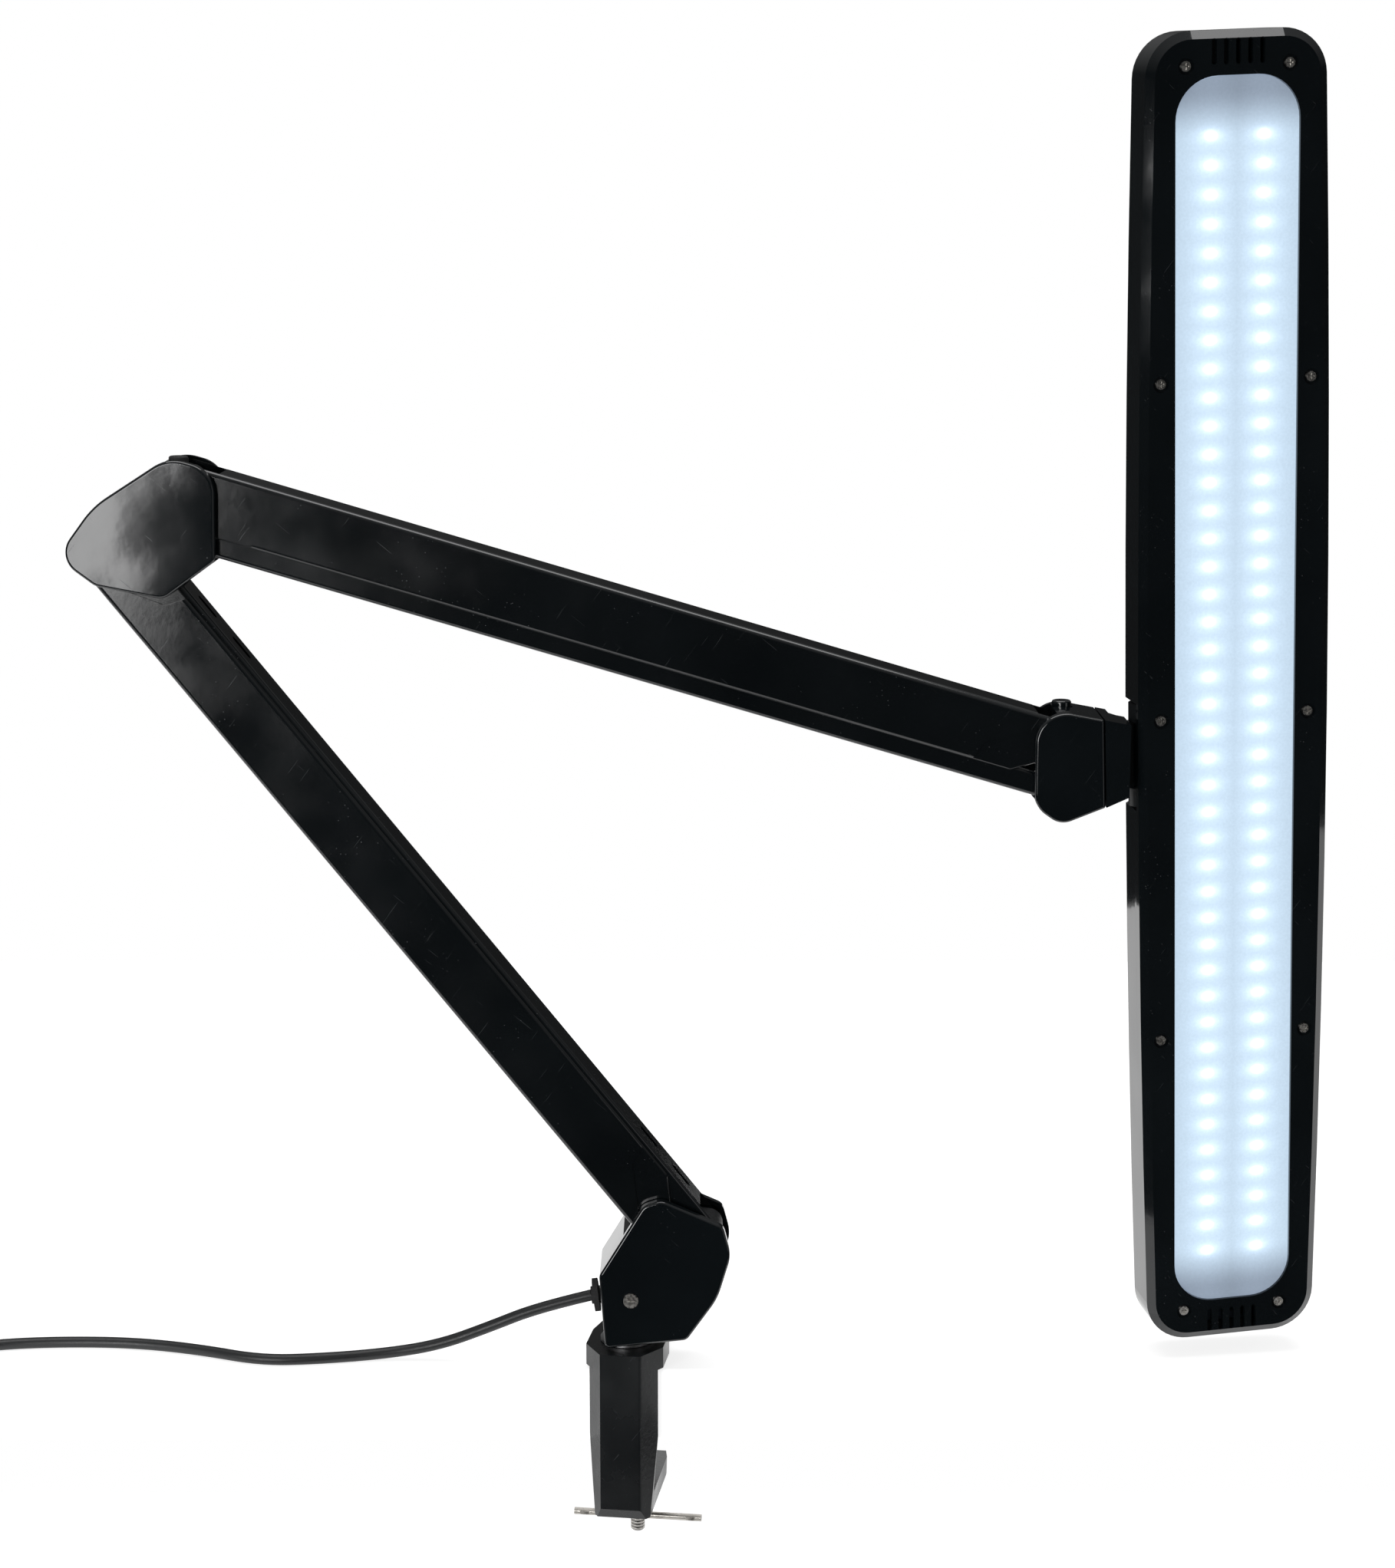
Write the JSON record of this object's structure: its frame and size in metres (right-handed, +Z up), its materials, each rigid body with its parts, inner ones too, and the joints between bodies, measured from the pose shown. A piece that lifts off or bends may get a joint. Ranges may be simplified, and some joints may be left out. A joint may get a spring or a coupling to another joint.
{
  "type": "clamp task light",
  "caption": "Clamp-mounted work light with spring-balanced parallelogram arms and a long rounded LED head on a swivel and tilt neck.",
  "frame": {"origin": "on the base swivel axis, where the upper jaw of the clamp rests on the table top", "axes": "+Z up along the base swivel axis, +X from the clamp towards the head, +Y to the back"},
  "size_m": [0.6852, 0.1287, 0.671],
  "materials": {
    "black_gloss": "black gloss moulding",
    "black_paint": "black gloss enamel on folded steel",
    "clamp_paint": "black enamel on die casting",
    "steel": "plated",
    "nickel": "nickel plated",
    "casting": "dark casting",
    "nylon": "natural nylon",
    "rubber": "black rubber",
    "lens": "clear prismatic acrylic",
    "tray": "white enamel",
    "board": "white solder mask",
    "green_board": "green solder mask",
    "led": "lit phosphor",
    "cord": "black pvc",
    "brass": "plug blades",
    "alloy": "die-cast"
  },
  "bodies": {
    "clamp": {"clamp_body": "clamp_paint", "clamp_jaw_pad": "rubber", "socket_bush": "nylon"},
    "pressure": {"pressure_pad": "nickel", "pressure_pad_face": "rubber"},
    "screw": {"clamp_screw": "nickel"},
    "tommy": {"tommy_bar": "nickel"},
    "base": {"base_frame": "casting", "base_spigot": "steel", "base_collar": "steel", "base_front_cover": "black_gloss", "base_rear_cover": "black_gloss", "base_pivot_pins": "steel", "base_bushes": "nylon", "base_cover_screws": "nickel", "cable_gland": "rubber", "power_cord": "cord", "cord_coil": "cord", "plug": "black_gloss", "plug_blades": "brass"},
    "lower_arm": {"lower_outer_channel": "black_paint", "lower_spring": "steel", "lower_spring_anchor": "steel", "lower_arm_cable": "cord"},
    "lower_link": {"lower_inner_channel": "black_paint"},
    "elbow": {"elbow_frame": "casting", "elbow_front_cover": "black_gloss", "elbow_rear_cover": "black_gloss", "elbow_pivot_pins": "steel", "elbow_bushes": "nylon", "elbow_cover_screws": "nickel", "elbow_adjuster": "black_gloss"},
    "upper_arm": {"upper_outer_channel": "black_paint", "upper_spring": "steel", "upper_spring_anchor": "steel", "upper_arm_cable": "cord"},
    "upper_link": {"upper_inner_channel": "black_paint"},
    "wrist": {"wrist_frame": "casting", "wrist_front_cover": "black_gloss", "wrist_rear_cover": "black_gloss", "wrist_pivot_pins": "steel", "wrist_bushes": "nylon", "wrist_cover_screw": "nickel", "wrist_adjuster": "black_gloss"},
    "neck": {"neck_body": "black_gloss", "neck_spigot": "steel"},
    "head": {"head_front_bezel": "black_gloss", "head_rear_housing": "black_gloss", "head_hinge_bracket": "alloy", "head_hinge_pin": "steel", "diffuser": "lens", "light_tray": "tray", "led_boards": "board", "leds": "led", "driver_board": "green_board", "bezel_screws": "nickel"},
    "button": {"power_button": "black_gloss"}
  },
  "joints": [
    {"name": "base_swivel", "type": "hinge", "parent": "clamp", "child": "base", "pos_m": [0, 0, 0.006], "axis": [0, 0, 1], "range_deg": [-150, 150]},
    {"name": "lower_arm_swing", "type": "hinge", "parent": "base", "child": "lower_arm", "pos_m": [0.0141, 0, 0.0659], "axis": [0, 1, 0], "range_deg": [-5, 60], "deforming": ["lower_spring"]},
    {"name": "lower_link_swing", "type": "hinge", "parent": "base", "child": "lower_link", "pos_m": [0.03589, 0, 0.06284], "axis": [0, 1, 0], "range_deg": [-5, 60]},
    {"name": "elbow_level", "type": "hinge", "parent": "lower_arm", "child": "elbow", "pos_m": [-0.22048, 0, 0.35975], "axis": [0, 1, 0], "range_deg": [-60, 5]},
    {"name": "upper_arm_swing", "type": "hinge", "parent": "elbow", "child": "upper_arm", "pos_m": [-0.18398, 0, 0.39335], "axis": [0, 1, 0], "range_deg": [-50, 7], "deforming": ["upper_spring"]},
    {"name": "upper_link_swing", "type": "hinge", "parent": "elbow", "child": "upper_link", "pos_m": [-0.18398, 0, 0.37135], "axis": [0, 1, 0], "range_deg": [-50, 7]},
    {"name": "wrist_level", "type": "hinge", "parent": "upper_arm", "child": "wrist", "pos_m": [0.18632, 0, 0.28437], "axis": [0, 1, 0], "range_deg": [-7, 50]},
    {"name": "neck_swivel", "type": "hinge", "parent": "wrist", "child": "neck", "pos_m": [0.19802, 0, 0.27538], "axis": [0.9993, 0, 0.0366], "range_deg": [-90, 90]},
    {"name": "head_tilt", "type": "hinge", "parent": "neck", "child": "head", "pos_m": [0.223, 0, 0.2763], "axis": [-0.0366, -0.0593, 0.9976], "range_deg": [-15, 30]},
    {"name": "screw_turn", "type": "hinge", "parent": "pressure", "child": "screw", "pos_m": [0.00376, 0.02674, -0.043], "axis": [0, 0, 1], "range_deg": [-2880, 3600]},
    {"name": "pad_travel", "type": "slide", "parent": "clamp", "child": "pressure", "axis": [0, 0, 1], "range_m": [-0.012, 0.015]},
    {"name": "tommy_slide", "type": "slide", "parent": "screw", "child": "tommy", "axis": [0.9903, -0.1392, 0], "range_m": [-0.018, 0.018]},
    {"name": "power_press", "type": "slide", "parent": "head", "child": "button", "axis": [0.1585, -0.9859, -0.0528], "range_m": [0, 0.0012], "stiffness_N_per_m": 800, "springref_m": -0.0005}
  ],
  "couplings": [
    {"joint": "lower_link_swing", "follows": "lower_arm_swing", "ratio": 1},
    {"joint": "elbow_level", "follows": "lower_arm_swing", "ratio": -1},
    {"joint": "upper_link_swing", "follows": "upper_arm_swing", "ratio": 1},
    {"joint": "wrist_level", "follows": "upper_arm_swing", "ratio": -1},
    {"joint": "screw_turn", "follows": "pad_travel", "rad_per_m": 4188.8}
  ]
}
